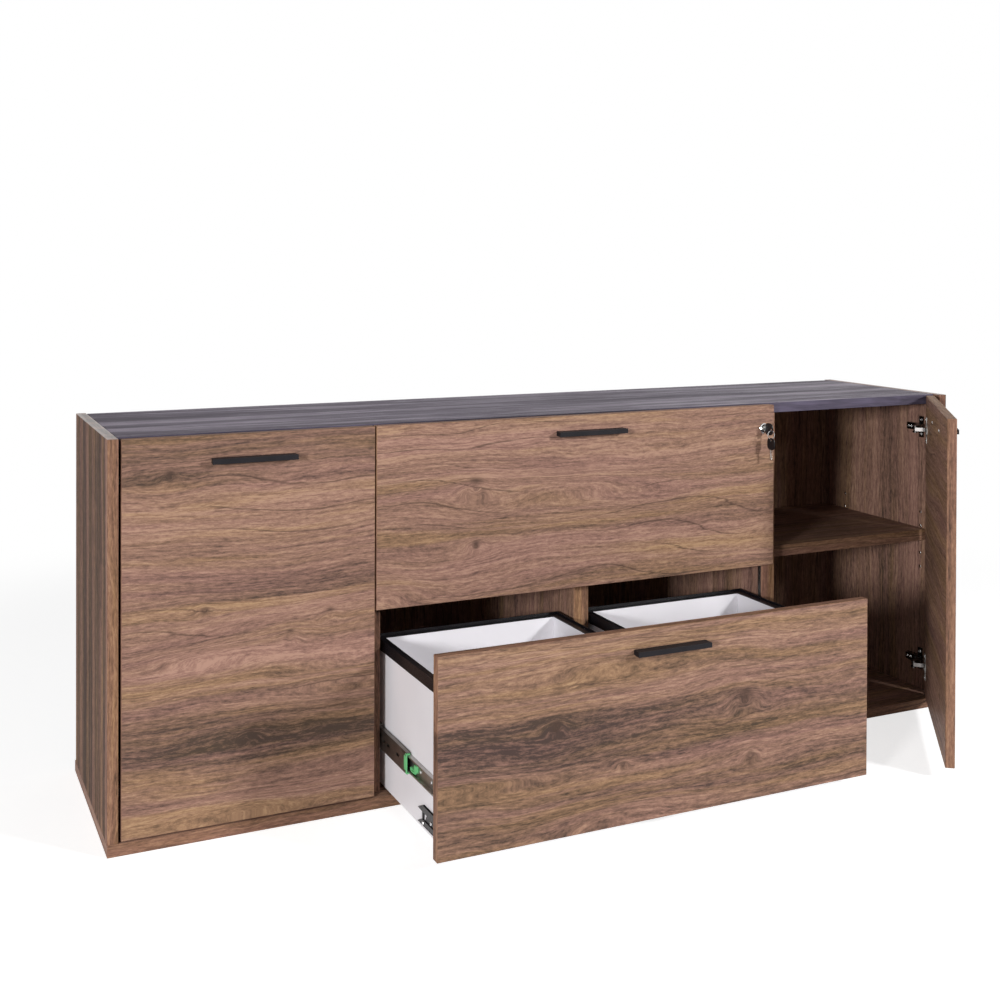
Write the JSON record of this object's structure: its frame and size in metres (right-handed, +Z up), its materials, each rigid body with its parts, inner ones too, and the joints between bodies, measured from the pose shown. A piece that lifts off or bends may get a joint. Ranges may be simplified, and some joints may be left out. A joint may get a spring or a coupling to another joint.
{
  "type": "office cabinet",
  "caption": "Low walnut-decor office cabinet with a charcoal top, hinged doors at both ends and wide lockable filing drawers between them.",
  "frame": {"origin": "centre of the underside of the base board, on the floor", "axes": "+X to the right seen from the front, +Y to the back, +Z up; the doors and drawers face -Y"},
  "size_m": [1.9, 0.8017, 0.73],
  "materials": {
    "walnut": "satin walnut decor on board",
    "charcoal": "matt charcoal wood decor on board",
    "white": "white melamine on board",
    "black": "matt black powder coat",
    "steel": "zinc plated",
    "chrome": "polished",
    "black_plastic": "matt"
  },
  "bodies": {
    "carcass": {"base_panel": "walnut", "side_panel_left": "walnut", "side_panel_right": "walnut", "partition_left": "walnut", "partition_center": "walnut", "partition_right": "walnut", "top_panel": "charcoal", "back_panel_left": "walnut", "back_panel_right": "walnut", "shelf_left": "walnut", "shelf_right": "walnut", "hinge_arm_left_top": "steel", "hinge_arm_left_bottom": "steel", "hinge_arm_right_top": "steel", "hinge_arm_right_bottom": "steel", "slide_outer_upper_1": "steel", "slide_outer_upper_2": "steel", "slide_outer_upper_3": "steel", "slide_outer_upper_4": "steel", "slide_outer_lower_1": "steel", "slide_outer_lower_2": "steel", "slide_outer_lower_3": "steel", "slide_outer_lower_4": "steel"},
    "left_door": {"door_left": "walnut", "handle_left": "black", "hinge_cup_left_top": "steel", "hinge_cup_left_bottom": "steel"},
    "left_door_links": {"hinge_link_left_top": "steel", "hinge_link_left_bottom": "steel"},
    "right_door": {"door_right": "walnut", "handle_right": "black", "hinge_cup_right_top": "steel", "hinge_cup_right_bottom": "steel"},
    "right_door_links": {"hinge_link_right_top": "steel", "hinge_link_right_bottom": "steel"},
    "upper_drawer": {"drawer_front_upper": "walnut", "handle_upper": "black", "box_upper_left": "white", "box_upper_right": "white", "file_rail_upper_left": "black_plastic", "file_rail_upper_right": "black_plastic", "lock_housing": "chrome"},
    "upper_slide_members": {"slide_mid_upper_1": "steel", "slide_mid_upper_2": "steel", "slide_mid_upper_3": "steel", "slide_mid_upper_4": "steel"},
    "lower_drawer": {"drawer_front_lower": "walnut", "handle_lower": "black", "box_lower_left": "white", "box_lower_right": "white", "file_rail_lower_left": "black_plastic", "file_rail_lower_right": "black_plastic"},
    "lower_slide_members": {"slide_mid_lower_1": "steel", "slide_mid_lower_2": "steel", "slide_mid_lower_3": "steel", "slide_mid_lower_4": "steel"},
    "key_and_plug": {"lock_plug": "steel", "key": "black_plastic"},
    "spare_key": {"spare_key": "black_plastic"},
    "locking_bar": {"lock_bar": "steel"}
  },
  "joints": [
    {"name": "left_door_hinge", "type": "hinge", "parent": "carcass", "child": "left_door", "pos_m": [-0.916, -0.2205, 0.3765], "axis": [0, 0, -1], "range_deg": [0, 95]},
    {"name": "left_door_link_turn", "type": "hinge", "parent": "carcass", "child": "left_door_links", "pos_m": [-0.882, -0.1925, 0.3765], "axis": [0, 0, 1], "range_deg": [0, 39.9]},
    {"name": "right_door_hinge", "type": "hinge", "parent": "carcass", "child": "right_door", "pos_m": [0.916, -0.2205, 0.3765], "axis": [0, 0, 1], "range_deg": [-52.7, 42.3]},
    {"name": "right_door_link_turn", "type": "hinge", "parent": "carcass", "child": "right_door_links", "pos_m": [0.882, -0.1925, 0.3765], "axis": [0, 0, -1], "range_deg": [-22.13, 17.77]},
    {"name": "upper_drawer_slide", "type": "slide", "parent": "carcass", "child": "upper_drawer", "axis": [0, -1, 0], "range_m": [0, 0.35]},
    {"name": "upper_slide_members_slide", "type": "slide", "parent": "carcass", "child": "upper_slide_members", "axis": [0, -1, 0], "range_m": [0, 0.175]},
    {"name": "lower_drawer_slide", "type": "slide", "parent": "carcass", "child": "lower_drawer", "axis": [0, -1, 0], "range_m": [-0.312, 0.038]},
    {"name": "lower_slide_members_slide", "type": "slide", "parent": "carcass", "child": "lower_slide_members", "axis": [0, -1, 0], "range_m": [-0.156, 0.019]},
    {"name": "key_turn", "type": "hinge", "parent": "upper_drawer", "child": "key_and_plug", "pos_m": [0.4305, -0.22, 0.678], "axis": [0, 1, 0], "range_deg": [0, 90]},
    {"name": "locking_bar_slide", "type": "slide", "parent": "carcass", "child": "locking_bar", "axis": [0, 0, -1], "range_m": [0, 0.008]},
    {"name": "spare_key_swing", "type": "hinge", "parent": "key_and_plug", "child": "spare_key", "pos_m": [0.4305, -0.2473, 0.678], "axis": [1, 0, 0], "range_deg": [-25, 14]}
  ],
  "couplings": [
    {"joint": "left_door_link_turn", "follows": "left_door_hinge", "ratio": 0.42},
    {"joint": "right_door_link_turn", "follows": "right_door_hinge", "ratio": 0.42},
    {"joint": "upper_slide_members_slide", "follows": "upper_drawer_slide", "ratio": 0.5},
    {"joint": "lower_slide_members_slide", "follows": "lower_drawer_slide", "ratio": 0.5},
    {"joint": "key_turn", "follows": "locking_bar_slide", "rad_per_m": 196.3}
  ]
}
